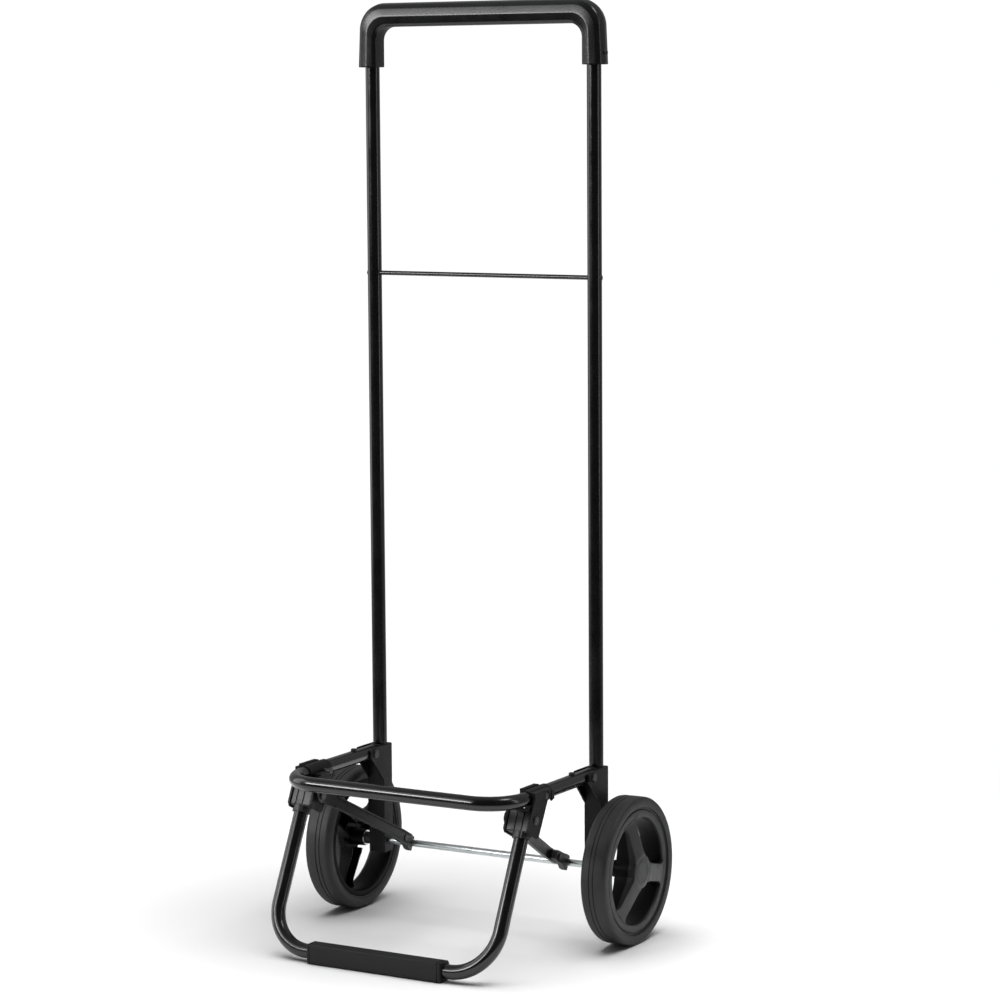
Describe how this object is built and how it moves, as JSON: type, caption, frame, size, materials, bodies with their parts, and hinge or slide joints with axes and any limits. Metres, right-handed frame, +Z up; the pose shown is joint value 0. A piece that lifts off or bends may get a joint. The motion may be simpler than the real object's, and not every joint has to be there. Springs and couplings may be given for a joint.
{
  "type": "shopping trolley frame",
  "caption": "Folding two-wheeled shopping trolley frame: U handle on two uprights, fold-down tube platform with a foot loop and axle struts, spoked wheels.",
  "frame": {"origin": "on the ground under the middle of the bounding box, trolley standing open on its wheels and foot loop", "axes": "+Z up; +X to the right of someone facing the trolley's front, along the axle; -Y towards the front, where the platform and the foot loop reach"},
  "size_m": [0.3994, 0.33, 1.04],
  "materials": {
    "handle_moulding": "semi-gloss moulded black",
    "black_powder_coat": "gloss black powder coat",
    "black_nylon": "satin moulded black",
    "black_rivet_steel": "satin black",
    "zinc_plated_steel": "bright zinc plate",
    "spacer_nylon": "matte",
    "soft_rubber": "matte",
    "foam_tyre": "matte",
    "wheel_plastic": "satin moulded dark grey"
  },
  "bodies": {
    "root": {"handle_grip": "handle_moulding", "handle_screws": "black_rivet_steel", "upright_tube_left": "black_powder_coat", "upright_tube_right": "black_powder_coat", "cross_rod": "black_powder_coat", "leg_box_left": "black_nylon", "leg_box_right": "black_nylon", "leg_screws": "black_rivet_steel", "platform_hinge_pins": "black_rivet_steel", "axle": "zinc_plated_steel", "axle_spacer_left": "spacer_nylon", "axle_spacer_right": "spacer_nylon", "axle_washers": "zinc_plated_steel", "axle_push_nuts": "zinc_plated_steel"},
    "platform": {"platform_tube": "black_powder_coat", "platform_buffers": "soft_rubber", "front_bracket_left": "black_nylon", "front_bracket_right": "black_nylon", "bracket_rivets": "black_rivet_steel", "bracket_pins": "black_rivet_steel"},
    "foot": {"foot_loop_tube": "black_powder_coat", "foot_sleeve": "black_nylon", "foot_knuckle_left": "black_nylon", "foot_knuckle_right": "black_nylon"},
    "strut_left": {"strut_left": "black_powder_coat", "axle_hook_left": "black_nylon", "hook_rivet_left": "black_rivet_steel"},
    "strut_right": {"strut_right": "black_powder_coat", "axle_hook_right": "black_nylon", "hook_rivet_right": "black_rivet_steel"},
    "wheel_left": {"tyre_left": "foam_tyre", "wheel_rim_left": "wheel_plastic", "hub_cap_left": "wheel_plastic"},
    "wheel_right": {"tyre_right": "foam_tyre", "wheel_rim_right": "wheel_plastic", "hub_cap_right": "wheel_plastic"}
  },
  "joints": [
    {"name": "platform_fold", "type": "hinge", "parent": "root", "child": "platform", "pos_m": [0, 0.0547, 0.189], "axis": [-1, 0, 0], "range_deg": [0, 90]},
    {"name": "foot_fold", "type": "hinge", "parent": "platform", "child": "foot", "pos_m": [0, -0.0774, 0.1665], "axis": [1, 0, 0], "range_deg": [0, 116.2]},
    {"name": "strut_left_fold", "type": "hinge", "parent": "platform", "child": "strut_left", "pos_m": [0, -0.0774, 0.1665], "axis": [1, 0, 0], "range_deg": [0, 37]},
    {"name": "strut_right_fold", "type": "hinge", "parent": "platform", "child": "strut_right", "pos_m": [0, -0.0774, 0.1665], "axis": [1, 0, 0], "range_deg": [0, 37]},
    {"name": "wheel_left_spin", "type": "hinge", "parent": "root", "child": "wheel_left", "pos_m": [0, 0.0825, 0.0825], "axis": [1, 0, 0], "continuous": true},
    {"name": "wheel_right_spin", "type": "hinge", "parent": "root", "child": "wheel_right", "pos_m": [0, 0.0825, 0.0825], "axis": [1, 0, 0], "continuous": true}
  ],
  "couplings": [
    {"joint": "foot_fold", "follows": "platform_fold", "ratio": 1.29},
    {"joint": "strut_left_fold", "follows": "platform_fold", "ratio": 0.41},
    {"joint": "strut_right_fold", "follows": "platform_fold", "ratio": 0.41}
  ]
}
